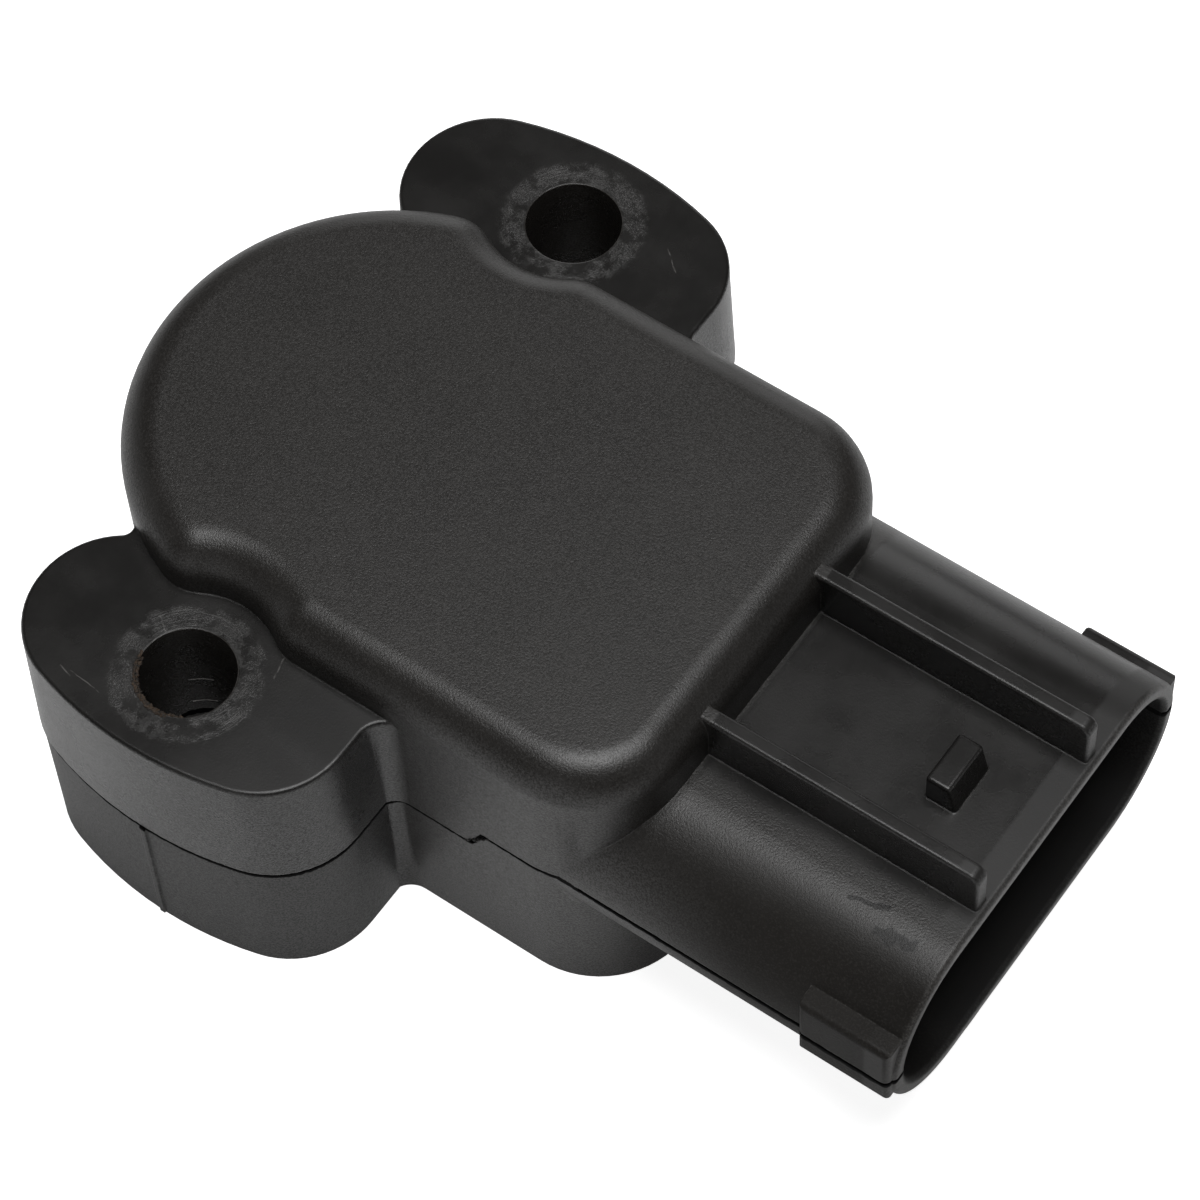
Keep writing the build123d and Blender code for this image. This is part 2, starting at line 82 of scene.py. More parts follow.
# %% Shader helper
class Shader:
    """Builds one material's node tree."""

    def __init__(self, name):
        self.material = bpy.data.materials.new(name)
        self.material.use_nodes = True
        self.tree = self.material.node_tree
        self.surface = self.tree.nodes["Principled BSDF"]

    def add(self, kind, inputs=None, out=0, **settings):
        node = self.tree.nodes.new(kind)
        for key, value in settings.items():
            setattr(node, key, value)
        for key, value in (inputs or {}).items():
            self.put(node.inputs[key], value)
        return node.outputs[out]

    def put(self, socket, value):
        if isinstance(value, bpy.types.NodeSocket):
            self.tree.links.new(value, socket)
        else:
            socket.default_value = value

    def set(self, **inputs):
        for key, value in inputs.items():
            self.put(self.surface.inputs[key.replace("_", " ")], value)

    def math(self, operation, first, second=0.0):
        return self.add("ShaderNodeMath", {0: first, 1: second}, operation=operation)

    def length(self, first, second):
        squares = [self.math("POWER", value, 2.0) for value in (first, second)]
        return self.math("SQRT", self.math("ADD", *squares))

    def place(self):
        return self.add("ShaderNodeTexCoord", out="Object")

    def axes(self):
        parts = self.tree.nodes.new("ShaderNodeSeparateXYZ")
        self.tree.links.new(self.place(), parts.inputs[0])
        return parts.outputs

    def noise(self, size, detail=2.0, roughness=0.5, vector=None):
        inputs = {"Scale": 1 / size, "Detail": detail, "Roughness": roughness}
        inputs["Vector"] = vector or self.place()
        return self.add("ShaderNodeTexNoise", inputs, out="Fac")

    def fade(self, value, start, end, low=0.0, high=1.0):
        inputs = {"Value": value, "From Min": start, "From Max": end, "To Min": low, "To Max": high}
        return self.add("ShaderNodeMapRange", inputs, interpolation_type="SMOOTHSTEP")

    def mix(self, factor, first, second):
        """Two colours mixed."""
        node = self.tree.nodes.new("ShaderNodeMix")
        node.data_type = "RGBA"
        colours = [socket for socket in node.inputs if socket.type == "RGBA"]
        for socket, value in zip([node.inputs[0], *colours], [factor, first, second]):
            self.put(socket, value)
        return next(socket for socket in node.outputs if socket.type == "RGBA")

    def blend(self, factor, first, second):
        """Two values mixed."""
        return self.add("ShaderNodeMix", {"Factor": factor, "A": first, "B": second})

    def bump(self, height, strength, depth, normal=None):
        inputs = {"Height": height, "Strength": strength, "Distance": depth}
        if normal:
            inputs["Normal"] = normal
        return self.add("ShaderNodeBump", inputs, out="Normal")


def grey(value, warm=0.0):
    """A nearly neutral colour, a little warmer or cooler."""
    return (value * (1 + warm), value, value * (1 - warm), 1.0)


# %% [markdown]
# ## Studio
# The background is white, with hardly any shadow. The floor gives that white to the camera and to
# reflections by itself, and keeps a faint shadow. One wide lamp hangs almost straight overhead and the room
# is dark, so the rounded edges catch a bright line, the flat tops stay dim and the walls mirror the floor.
# Four weak lamps stand low around it and keep the walls from going black on any side.

# %% Floor and world
FLOOR_SIZE = 4.0
FLOOR_GLOW = 0.88
MIRRORED_GLOW = 0.115
WORLD_LEVEL = 0.042
FLOOR_DROP = 0.05 * MM


def seen_directly(shader):
    """The glow that the camera, a refraction and, more weakly, a reflection sees."""
    path = shader.tree.nodes.new("ShaderNodeLightPath")
    seen = shader.math("MAXIMUM", path.outputs["Is Camera Ray"], path.outputs["Is Transmission Ray"])
    mirrored = shader.math("MULTIPLY", path.outputs["Is Glossy Ray"], MIRRORED_GLOW)
    return shader.math("MAXIMUM", shader.math("MULTIPLY", seen, FLOOR_GLOW), mirrored)


half = FLOOR_SIZE / 2
floor_mesh = bpy.data.meshes.new("floor")
corner_signs = ((-1, -1), (1, -1), (1, 1), (-1, 1))
floor_corners = [(x * half, y * half, -FLOOR_DROP) for x, y in corner_signs]
floor_mesh.from_pydata(floor_corners, [], [(0, 1, 2, 3)])
floor = bpy.data.objects.new("floor", floor_mesh)
scene.collection.objects.link(floor)
paper = Shader("floor_paper")
paper.set(Base_Color=grey(0.8), Roughness=1.0, Specular_IOR_Level=0.0, Emission_Color=grey(1.0))
paper.set(Emission_Strength=seen_directly(paper))
floor_mesh.materials.append(paper.material)

world = bpy.data.worlds.new("studio")
world.use_nodes = True
scene.world = world
background = world.node_tree.nodes["Background"]
background.inputs["Color"].default_value = grey(1.0)
light_path = world.node_tree.nodes.new("ShaderNodeLightPath")
world_level = world.node_tree.nodes.new("ShaderNodeMapRange")
world_level.inputs["To Min"].default_value = WORLD_LEVEL
world.node_tree.links.new(light_path.outputs["Is Camera Ray"], world_level.inputs["Value"])
world.node_tree.links.new(world_level.outputs["Result"], background.inputs["Strength"])

# %% Lamps
LAMPS = {
    "overhead": {"place": (0.07, 0.0, 0.95), "size": 0.62, "power": 7.2},
    "behind": {"place": (-0.45, 0.85, 0.35), "size": 0.7, "power": 1.6},
    "left": {"place": (-1.0, -0.3, 0.25), "size": 0.7, "power": 0.4},
    "front": {"place": (0.1, -1.0, 0.22), "size": 0.7, "power": 0.8},
    "mouth_side": {"place": (1.0, 0.25, 0.22), "size": 0.7, "power": 0.4},
}


def add_lamp(name, place, size, power):
    """A round area lamp that faces the object."""
    data = bpy.data.lights.new(name, "AREA")
    data.shape = "DISK"
    data.size = size
    data.energy = power
    lamp = bpy.data.objects.new(name, data)
    scene.collection.objects.link(lamp)
    turn = (CAMERA_AIM - Vector(place)).to_track_quat("-Z", "Y").to_matrix().to_4x4()
    lamp.matrix_world = Matrix.Translation(place) @ turn
    print("lamp", name, power, "W")


for name, settings in LAMPS.items():
    add_lamp(name, **settings)

# %% [markdown]
# ## Places on the housing
# Marks are placed from the imported record and from sizes given here, so they stay on the holes, the ears and
# the mouth.

# %% Places on the housing
record_mounts = {mount["name"]: mount for mount in frame["record"]["mounts"]}
HOLE_Y = record_mounts["mounting_holes"]["dims"]["spacing_y_mm"] / 2 * MM
HOLE_RADIUS = record_mounts["mounting_holes"]["dims"]["hole_r_mm"] * MM
EAR_TOP = 23.0 * MM
BODY_SIDE = 17.5 * MM
BODY_END = 31.5 * MM
PARTING = 12.5 * MM
PARTING_HIGH = 14.6 * MM
PARTING_GAP = 0.3 * MM
PARTING_JOG = 18.9 * MM
MOUTH_X = record_mounts["connector_socket"]["pos_m"][0]
SHROUD_MIDDLE = record_mounts["connector_socket"]["pos_m"][2]
SHROUD_RADIUS = 7.35 * MM
SHROUD_STRAIGHT = 9.75 * MM
SOCKET_FLOOR = 34.1 * MM
print("holes at", HOLE_Y, "mouth at", round(MOUTH_X, 4))

# %% [markdown]
# ## Housing plastic
# The mould was spark eroded, which leaves a fine sparkling grain on the body and the shroud. The ears are
# smoother and darker. A washer has left a scuffed ring round each hole, the tops carry a few scratches, and
# the shroud's near shoulder shows flow marks. All of it follows object coordinates, so it stays put.

# %% Masks for the housing
MASK_SOFT = 0.3 * MM
TOP_SLACK = 0.05 * MM
HOLLOW_EDGE = (6.1 * MM, 6.3 * MM)
SHROUD_ROOT = (BODY_END, BODY_END + 0.4 * MM)
POLISHED_FROM = (-SHROUD_STRAIGHT, -SHROUD_STRAIGHT + 2 * MM)
LOW_EAR_OUT = (BODY_SIDE, BODY_SIDE + 4 * MM)
LOW_EAR_MOST = 0.6
DULL_NEAR = (-SHROUD_STRAIGHT, -SHROUD_STRAIGHT - 5 * MM)
DULL_ALONG = (BODY_END - 4 * MM, MOUTH_X - 10 * MM)
SOCKET_WALL = (SHROUD_RADIUS - 1.2 * MM, SHROUD_RADIUS - 0.8 * MM)
SOCKET_DEEP = (MOUTH_X - 12 * MM, MOUTH_X - 2 * MM)
SOCKET_MOUTH = 0.6
PARTING_RUN = 1.5 * MM
PARTING_WANDER = 0.06 * MM
PARTING_REACH = 0.24 * MM
PARTING_SOFT = 0.1 * MM
MOST_NOISE = (0.3, 0.7)


def near_value(shader, value, centre, reach, soft):
    """1 where a value is within reach of a centre, fading over a soft margin."""
    away = shader.math("ABSOLUTE", shader.math("SUBTRACT", value, centre))
    return shader.fade(away, reach, reach + soft, 1.0, 0.0)


def product(shader, *masks):
    """All the masks multiplied together."""
    result = masks[0]
    for mask in masks[1:]:
        result = shader.math("MULTIPLY", result, mask)
    return result


def highest(shader, *masks):
    """The strongest of the masks."""
    result = masks[0]
    for mask in masks[1:]:
        result = shader.math("MAXIMUM", result, mask)
    return result


def past_hole(shader, axes):
    """How far out along Y a place is from the nearer hole's axis."""
    return shader.math("SUBTRACT", shader.math("ABSOLUTE", axes["Y"]), HOLE_Y)


def hole_distance(shader, axes):
    """How far a place is from the nearer hole's axis."""
    return shader.length(axes["X"], past_hole(shader, axes))


def ear_mask(shader, axes, up):
    """1 on both ears, walls and tops, and 0 on the body and the shroud."""
    out = shader.fade(shader.math("ABSOLUTE", axes["Y"]), BODY_SIDE, BODY_SIDE + MASK_SOFT)
    hollow = shader.fade(hole_distance(shader, axes), *HOLLOW_EDGE, 1.0, 0.0)
    low = shader.fade(axes["Z"], EAR_TOP + TOP_SLACK, EAR_TOP + MASK_SOFT, 1.0, 0.0)
    walls = product(shader, highest(shader, out, hollow), low)
    flat = product(shader, near_value(shader, axes["Z"], EAR_TOP, TOP_SLACK, TOP_SLACK), up)
    return highest(shader, walls, flat)


def smooth_shroud_mask(shader, axes):
    """The shroud's top and far side, where the mould was polished more."""
    return product(shader, shader.fade(axes["X"], *SHROUD_ROOT), shader.fade(axes["Y"], *POLISHED_FROM))


def low_ear_mask(shader, axes):
    """The lower half of the ears, which is duller."""
    out = shader.fade(shader.math("ABSOLUTE", axes["Y"]), *LOW_EAR_OUT, 0.0, LOW_EAR_MOST)
    return product(shader, shader.fade(axes["Z"], PARTING - PARTING_GAP, PARTING, 1.0, 0.0), out)


def dull_side_mask(shader, axes):
    """The shroud's near side towards the mouth, with its key."""
    return product(shader, shader.fade(axes["Y"], *DULL_NEAR), shader.fade(axes["X"], *DULL_ALONG))


def socket_shade_mask(shader, axes):
    """1 deep inside the connector's socket, fading towards its mouth, for the painted shade there."""
    over = shader.math("SUBTRACT", shader.math("ABSOLUTE", axes["Y"]), SHROUD_STRAIGHT)
    side = shader.math("MAXIMUM", over, 0.0)
    rise = shader.math("SUBTRACT", axes["Z"], SHROUD_MIDDLE)
    inside = shader.fade(shader.length(side, rise), *SOCKET_WALL, 1.0, 0.0)
    behind = shader.fade(axes["X"], SOCKET_FLOOR - MM, SOCKET_FLOOR)
    deep = shader.fade(axes["X"], *SOCKET_DEEP, 1.0, SOCKET_MOUTH)
    return product(shader, inside, behind, deep)


def parting_shade_mask(shader, axes):
    """1 in the gap of the parting line, which jogs up towards the shroud, for the painted shade in the gap.
    """
    rise = shader.fade(axes["X"], PARTING_JOG, PARTING_JOG + PARTING_RUN, PARTING, PARTING_HIGH)
    below = shader.math("SUBTRACT", rise, axes["Z"])
    ragged = shader.fade(shader.noise(0.6 * MM, 3.0), *MOST_NOISE, -PARTING_WANDER, PARTING_WANDER)
    return near_value(shader, shader.math("ADD", below, ragged), PARTING_GAP, PARTING_REACH, PARTING_SOFT)


# %% [markdown]
# ## Wear on the housing
# Each mark is a mask. Turned scuffs run in rings, so their noise is laid out by radius and turn. Scratches
# and flow marks are short strokes between two places in plan, in millimetres, that wander a little.

# %% Wear on the housing
WASHER_INNER = 3.6 * MM
WASHER_OUTER = 5.4 * MM
WASHER_RAGGED = 0.9 * MM
RING_WIDTH = 0.13 * MM
RING_TURN = 0.5
SCRATCH_WANDER = 0.4
FLOW_WANDER = 1.8
SCRATCHES = [
    ((-7.4, -26.1), (-6.2, -26.6), 0.06),
    ((-6.6, -26.2), (-3.8, -26.4), 0.04),
    ((-4.3, -19.4), (-3.0, -20.3), 0.07),
    ((4.6, -17.4), (5.0, -19.2), 0.06),
    ((6.6, 24.0), (8.4, 22.4), 0.05),
]
FLOW_MARKS = [
    ((47.2, -11.9), (50.6, -11.2), 0.5),
    ((44.6, -10.6), (47.8, -10.3), 0.4),
]
# Where the lip's end starts: it is lightened, partly as wear and partly as a painted highlight.
LIP_WEAR_AND_HIGHLIGHT = (MOUTH_X - 0.5 * MM, MOUTH_X - 0.2 * MM)
HANDLED_ALONG = (MM, 9 * MM)
HANDLED_MOST = 0.8


def round_hole(shader, axes, radius):
    """Noise that runs in rings round the nearer hole, as turned scuffs do."""
    turn = shader.math("ARCTAN2", past_hole(shader, axes), axes["X"])
    rings = shader.math("DIVIDE", radius, RING_WIDTH)
    arcs = shader.math("DIVIDE", turn, RING_TURN)
    return shader.noise(1.0, 3.0, 0.6, shader.add("ShaderNodeCombineXYZ", {"X": rings, "Y": arcs}))


def washer_print(shader, axes, ear_top):
    """The dull patches that a washer left round each hole, and the fine marks in them."""
    radius = hole_distance(shader, axes)
    wander = shader.math("MULTIPLY", shader.noise(1.1 * MM, 3.0), WASHER_RAGGED)
    ragged = shader.math("ADD", radius, wander)
    inside = shader.fade(radius, HOLE_RADIUS - 0.05 * MM, WASHER_INNER)
    outside = shader.fade(ragged, WASHER_OUTER - 0.1 * MM, WASHER_OUTER + 0.6 * MM, 1.0, 0.0)
    scuffed = shader.fade(shader.noise(1.6 * MM, 4.0, 0.7), 0.38, 0.62)
    patches = product(shader, inside, outside, ear_top, scuffed)
    rings = shader.fade(round_hole(shader, axes, radius), 0.45, 0.72)
    specks = shader.fade(shader.noise(0.12 * MM, 2.0, 0.7), 0.46, 0.66)
    return patches, product(shader, patches, highest(shader, rings, specks))


def stroke(shader, axes, start, end, width, wander):
    """1 along a short mark between two places in plan, which wanders a little."""
    start, end = Vector(start) * MM, Vector(end) * MM
    length = (end - start).length
    along = (end - start).normalized()
    dx = shader.math("SUBTRACT", axes["X"], start.x)
    dy = shader.math("SUBTRACT", axes["Y"], start.y)
    ahead_x = shader.math("MULTIPLY", dx, along.x)
    ahead_y = shader.math("MULTIPLY", dy, along.y)
    ahead = shader.math("ADD", ahead_x, ahead_y)
    aside_x = shader.math("MULTIPLY", dx, -along.y)
    aside_y = shader.math("MULTIPLY", dy, -along.x)
    aside = shader.math("SUBTRACT", aside_x, aside_y)
    sway = shader.math("SUBTRACT", shader.noise(1.4 * MM, 2.0), 0.5)
    swayed = shader.math("ADD", aside, shader.math("MULTIPLY", sway, wander * MM))
    on_line = near_value(shader, swayed, 0.0, width * MM / 2, width * MM / 2)
    return product(shader, on_line, near_value(shader, ahead, length / 2, length * 0.4, length * 0.1))


def scratch_mask(shader, axes, ear_top):
    """Fine broken scratches on the ears' tops."""
    marks = [stroke(shader, axes, *mark, SCRATCH_WANDER) for mark in SCRATCHES]
    broken = shader.fade(shader.noise(0.5 * MM, 3.0), 0.35, 0.6)
    return product(shader, highest(shader, *marks), ear_top, broken)


def flow_mask(shader, axes):
    """Smudges on the shroud's near shoulder, where the plastic flowed together."""
    marks = [stroke(shader, axes, *mark, FLOW_WANDER) for mark in FLOW_MARKS]
    upper = shader.fade(axes["Z"], SHROUD_MIDDLE, SHROUD_MIDDLE + 2 * MM)
    return product(shader, highest(shader, *marks), upper)


def rub_mask(shader, rounded, normal):
    """Patches along the edges, where the rounded normal leaves the flat one."""
    normals = {0: rounded, 1: normal}
    facing = shader.add("ShaderNodeVectorMath", normals, out="Value", operation="DOT_PRODUCT")
    patchy = shader.fade(shader.noise(0.8 * MM, 4.0, 0.7), 0.42, 0.66)
    return product(shader, shader.fade(facing, 0.985, 0.86), patchy)


def handled_mask(shader, axes, ear_top):
    """The near ear's top towards the mouth, which is duller from handling."""
    near_ear = shader.fade(axes["Y"], 0.0, -MM)
    return product(shader, ear_top, near_ear, shader.fade(axes["X"], *HANDLED_ALONG, 0.0, HANDLED_MOST))


# %% [markdown]
# ## Housing material
# The masks come together here, in three functions: one gives the colour, one the roughness and the shine,
# and one the relief. A small rounded normal softens every edge, as on a real moulding.

# %% Housing material
GRAIN = 0.15 * MM
SPARKLE = 0.07 * MM
SPECKLE = 0.14 * MM
BLOTCH = 6.0 * MM
EDGE_ROUND = 0.18 * MM
GRAIN_DEPTH = 0.03 * MM
BORE_EDGE = (HOLE_RADIUS + 0.02 * MM, HOLE_RADIUS + 0.06 * MM)
NEAR_LIP = (MOUTH_X - 2.3 * MM, MOUTH_X - 1.9 * MM)
BODY_COLOURS = (grey(0.012, 0.10), grey(0.016, 0.09))
POLISHED_COLOURS = (grey(0.009, 0.06), grey(0.013, 0.06))
GRAIN_COLOUR = grey(0.024, 0.08)
PRINT_COLOUR = grey(0.036, 0.05)
BORE_COLOUR = grey(0.03, 0.1)
FLOW_COLOUR = grey(0.006)
WEAR_AND_HIGHLIGHT_COLOUR = grey(0.08, 0.04)
SHADED_COLOUR = grey(0.006)
GRAIN_ROUGH = (0.31, 0.42)
POLISHED_ROUGH = (0.24, 0.30)
HANDLED_ROUGH = 0.37
LOW_EAR_ROUGH = 0.62
DULL_SIDE_ROUGH = 0.55
LIP_ROUGH = 0.42
PRINT_ROUGH = 0.38
SHADED_ROUGH = 0.9
SHINE = 0.5
SPECKLE_SHINE = (0.27, 0.73)
DULL_SHINE = 0.12
SHADED_SHINE = 0.05


def housing_masks(shader):
    """Everything that the housing's colour, shine and relief depend on, by name."""
    axes = shader.axes()
    geometry = shader.tree.nodes.new("ShaderNodeNewGeometry").outputs
    normal_parts = shader.tree.nodes.new("ShaderNodeSeparateXYZ")
    shader.tree.links.new(geometry["True Normal"], normal_parts.inputs[0])
    rounded = shader.add("ShaderNodeBevel", {"Radius": EDGE_ROUND}, samples=6)
    up = shader.fade(normal_parts.outputs["Z"], 0.6, 0.9)
    ear = ear_mask(shader, axes, up)
    ear_top = product(shader, ear, up)
    patches, print_marks = washer_print(shader, axes, ear_top)
    return {
        "up": up,
        "rounded": rounded,
        "calm": highest(shader, ear, smooth_shroud_mask(shader, axes)),
        # painted shade: the parting gap and the deep socket are coloured near black, with less shine
        "dark": highest(shader, parting_shade_mask(shader, axes), socket_shade_mask(shader, axes)),
        "grain": shader.noise(GRAIN, 2.0, 0.6),
        "blotch": shader.noise(BLOTCH, 4.0, 0.6),
        "patches": patches,
        "print": print_marks,
        "scratch": scratch_mask(shader, axes, ear_top),
        "rub": rub_mask(shader, rounded, geometry["Normal"]),
        "flow": flow_mask(shader, axes),
        "bore": shader.fade(hole_distance(shader, axes), *BORE_EDGE, 1.0, 0.0),
        "lip_wear_and_highlight": shader.fade(axes["X"], *LIP_WEAR_AND_HIGHLIGHT),
        "near_lip": shader.fade(axes["X"], *NEAR_LIP),
        "handled": handled_mask(shader, axes, ear_top),
        "low_ear": low_ear_mask(shader, axes),
        "dull_side": dull_side_mask(shader, axes),
    }


def housing_colour(shader, masks):
    """Black with a warm grain, then the marks over it, a painted highlight on the lip and painted shade in
    the parting gap and the socket.
    """
    blotch = shader.fade(masks["blotch"], *MOST_NOISE)
    body = shader.mix(blotch, *BODY_COLOURS)
    grained = shader.mix(shader.fade(masks["grain"], 0.45, 0.75), body, GRAIN_COLOUR)
    smooth = shader.mix(masks["calm"], grained, shader.mix(blotch, *POLISHED_COLOURS))
    printed = shader.mix(masks["print"], smooth, PRINT_COLOUR)
    bored = shader.mix(masks["bore"], printed, BORE_COLOUR)
    creased = shader.mix(shader.math("MULTIPLY", masks["flow"], 0.7), bored, FLOW_COLOUR)
    # The lip's end is lightened: partly wear, partly a painted highlight on its rounded edges.
    lip = product(shader, masks["lip_wear_and_highlight"], shader.fade(masks["grain"], 0.4, 0.7, 0.3, 1.0), 0.6)
    worn_and_highlit = shader.mix(highest(shader, masks["rub"], masks["scratch"], lip), creased, WEAR_AND_HIGHLIGHT_COLOUR)
    # painted shade in the parting gap and deep in the socket
    shader.set(Base_Color=shader.mix(masks["dark"], worn_and_highlit, SHADED_COLOUR))


def housing_shine(shader, masks):
    """Roughness laid on from the body to the marks, and a speckled shine on the walls."""
    rough = shader.fade(masks["grain"], *MOST_NOISE, *GRAIN_ROUGH)
    polished = shader.fade(masks["blotch"], *MOST_NOISE, *POLISHED_ROUGH)
    layers = [
        ("calm", polished),
        ("handled", HANDLED_ROUGH),
        ("low_ear", LOW_EAR_ROUGH),
        ("dull_side", DULL_SIDE_ROUGH),
        ("near_lip", LIP_ROUGH),
        ("patches", PRINT_ROUGH),
        ("dark", SHADED_ROUGH),
    ]
    for name, value in layers:
        rough = shader.blend(masks[name], rough, value)
    shader.set(Roughness=rough)
    speckle = shader.fade(shader.noise(SPECKLE, 2.0, 0.7), 0.35, 0.65, *SPECKLE_SHINE)
    less = highest(shader, masks["dull_side"], shader.math("MULTIPLY", masks["flow"], 0.6))
    shine = shader.blend(less, shader.blend(masks["up"], speckle, SHINE), DULL_SHINE)
    shader.set(Specular_IOR_Level=shader.blend(masks["dark"], shine, SHADED_SHINE))


def housing_relief(shader, masks):
    """Grain, quieter on the polished tops, and raised marks in the washer's print."""
    quiet = shader.blend(masks["up"], 1.0, shader.blend(masks["calm"], 0.8, 0.22))
    sparkle = shader.math("MULTIPLY", shader.noise(SPARKLE, 1.0), 0.5)
    relief = product(shader, shader.math("ADD", masks["grain"], sparkle), quiet)
    relief = shader.math("ADD", relief, shader.math("MULTIPLY", masks["print"], 0.5))
    shader.set(Normal=shader.bump(relief, 0.8, GRAIN_DEPTH, masks["rounded"]))


def housing_plastic():
    """The black plastic of the housing, with all its marks."""
    shader = Shader("housing_plastic")
    masks = housing_masks(shader)
    housing_colour(shader, masks)
    housing_shine(shader, masks)
    housing_relief(shader, masks)
    print("housing masks:", len(masks))
    return shader.material


# %% [markdown]
# ## Smooth housing
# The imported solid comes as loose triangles, which would shade as facets. A copy with its doubles merged can
# be shaded smoothly. Weighted normals keep the big flats flat where they run into a rounded edge.

# %% Smooth housing
SHARP = math.radians(32)


def smooth_copy(node_name, piece_name, material):
    """A node's mesh, merged and shaded smoothly, in an object of its own."""
    source = frame["nodes"][node_name].data
    mesh = bpy.data.meshes.new(piece_name)
    mesh.from_pydata([v.co[:] for v in source.vertices], [], [p.vertices[:] for p in source.polygons])
    work = bmesh.new()
    work.from_mesh(mesh)
    bmesh.ops.remove_doubles(work, verts=work.verts, dist=0.001 * MM)
    work.to_mesh(mesh)
    work.free()
    mesh.shade_smooth()
    mesh.set_sharp_from_angle(angle=SHARP)
    piece = bpy.data.objects.new(piece_name, mesh)
    scene.collection.objects.link(piece)
    weighted = piece.modifiers.new("flat_stays_flat", "WEIGHTED_NORMAL")
    weighted.keep_sharp = True
    weighted.weight = 100
    graph = bpy.context.evaluated_depsgraph_get()
    plain = bpy.data.meshes.new_from_object(piece.evaluated_get(graph))
    piece.modifiers.clear()
    piece.data = plain
    plain.materials.clear()
    plain.materials.append(material)
    print(piece_name, "faces:", len(plain.polygons))
    return piece


housing = smooth_copy("housing", "housing_shell", housing_plastic())
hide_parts("housing")
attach(housing, "sensor")

# %% [markdown]
# ## Flash, burrs and residue
# Where the mould's halves and its core pins met, thin flash is left: two ridges in the near hole and burrs
# at the jog of the parting line. The ridges are coloured pale, a painted glint. A screw has left brown
# residue on the near hole's rim. These follow a path, so Geometry Nodes make them: one tree scatters flakes
# along a path, and one runs a thin ridge along it.

# %% Trees that follow a path
def path_tree(name, inputs):
    """An empty tree with a path going in, the named sizes beside it and pieces coming out."""
    tree = bpy.data.node_groups.new(name, "GeometryNodeTree")
    tree.interface.new_socket("Path", in_out="INPUT", socket_type="NodeSocketGeometry")
    for label, kind in inputs.items():
        tree.interface.new_socket(label, in_out="INPUT", socket_type=kind)
    tree.interface.new_socket("Pieces", in_out="OUTPUT", socket_type="NodeSocketGeometry")
    entry = tree.nodes.new("NodeGroupInput")
    curve = tree.nodes.new("GeometryNodeMeshToCurve")
    tree.links.new(entry.outputs["Path"], curve.inputs["Mesh"])
    return tree, entry.outputs, curve.outputs["Curve"]


def finish_tree(tree, geometry, material_socket):
    """Real geometry with its material, as the tree's result."""
    real = tree.nodes.new("GeometryNodeRealizeInstances")
    coloured = tree.nodes.new("GeometryNodeSetMaterial")
    leave = tree.nodes.new("NodeGroupOutput")
    tree.links.new(geometry, real.inputs["Geometry"])
    tree.links.new(real.outputs["Geometry"], coloured.inputs["Geometry"])
    tree.links.new(material_socket, coloured.inputs["Material"])
    tree.links.new(coloured.outputs["Geometry"], leave.inputs["Pieces"])


def random_vector(tree, low, high, seed):
    """A random vector for each point."""
    node = tree.nodes.new("FunctionNodeRandomValue")
    node.data_type = "FLOAT_VECTOR"
    node.inputs["Min"].default_value = low
    node.inputs["Max"].default_value = high
    tree.links.new(seed, node.inputs["Seed"])
    return node.outputs["Value"]


def flake_tree():
    """Flat flakes of random size and turn along a path."""
    inputs = {
        "Count": "NodeSocketInt",
        "Size": "NodeSocketFloat",
        "Seed": "NodeSocketInt",
        "Material": "NodeSocketMaterial",
    }
    tree, sizes, curve = path_tree("flakes_along_path", inputs)
    points = tree.nodes.new("GeometryNodeCurveToPoints")
    flake = tree.nodes.new("GeometryNodeMeshIcoSphere")
    flake.inputs["Subdivisions"].default_value = 2
    spread = tree.nodes.new("GeometryNodeInstanceOnPoints")
    tree.links.new(curve, points.inputs["Curve"])
    tree.links.new(sizes["Count"], points.inputs["Count"])
    tree.links.new(sizes["Size"], flake.inputs["Radius"])
    tree.links.new(points.outputs["Points"], spread.inputs["Points"])
    tree.links.new(flake.outputs["Mesh"], spread.inputs["Instance"])
    scale = random_vector(tree, (0.25, 0.2, 0.12), (1.0, 0.7, 0.4), sizes["Seed"])
    turn = random_vector(tree, (-0.6, -0.6, -3.1), (0.6, 0.6, 3.1), sizes["Seed"])
    tree.links.new(scale, spread.inputs["Scale"])
    tree.links.new(turn, spread.inputs["Rotation"])
    finish_tree(tree, spread.outputs["Instances"], sizes["Material"])
    return tree


def ridge_tree():
    """A thin round ridge along a path."""
    inputs = {"Thickness": "NodeSocketFloat", "Material": "NodeSocketMaterial"}
    tree, sizes, curve = path_tree("ridge_along_path", inputs)
    section = tree.nodes.new("GeometryNodeCurvePrimitiveCircle")
    section.inputs["Resolution"].default_value = 8
    ridge = tree.nodes.new("GeometryNodeCurveToMesh")
    ridge.inputs["Fill Caps"].default_value = True
    tree.links.new(sizes["Thickness"], section.inputs["Radius"])
    tree.links.new(curve, ridge.inputs["Curve"])
    tree.links.new(section.outputs["Curve"], ridge.inputs["Profile Curve"])
    finish_tree(tree, ridge.outputs["Mesh"], sizes["Material"])
    return tree


# %% Pieces along paths
def path_mesh(name, paths):
    """Open lines through the given places."""
    places = [place for path in paths for place in path]
    lines = []
    start = 0
    for path in paths:
        lines += [(start + step, start + step + 1) for step in range(len(path) - 1)]
        start += len(path)
    mesh = bpy.data.meshes.new(name)
    mesh.from_pydata(places, lines, [])
    return mesh


